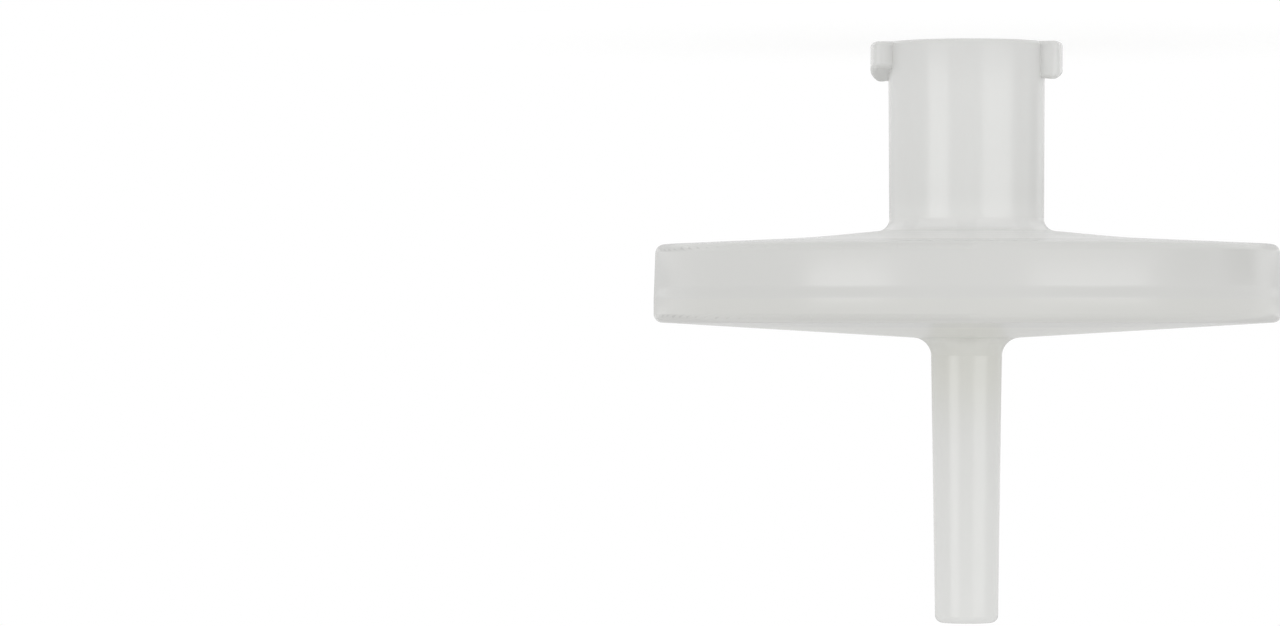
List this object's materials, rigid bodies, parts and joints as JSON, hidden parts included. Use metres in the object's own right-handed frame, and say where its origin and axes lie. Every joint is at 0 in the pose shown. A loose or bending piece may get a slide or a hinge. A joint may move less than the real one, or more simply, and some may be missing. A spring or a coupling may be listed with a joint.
{
  "type": "syringe filter",
  "caption": "Round membrane syringe filter with a female luer lock inlet on a short hub and a slim tapered outlet tube.",
  "frame": {"origin": "centre of the inlet end face of the hub, which the filter stands on", "axes": "+Z along the filter's axis from the inlet to the outlet tip, X through the two lock lugs"},
  "size_m": [0.0254, 0.0254, 0.0235],
  "materials": {
    "inlet_plastic": "natural polypropylene, milky and slightly translucent, satin",
    "outlet_plastic": "natural polypropylene, milky and slightly translucent, satin",
    "membrane": "white porous film, dull"
  },
  "bodies": {
    "root": {"inlet_housing": "inlet_plastic", "membrane": "membrane", "outlet_housing": "outlet_plastic"}
  },
  "joints": []
}
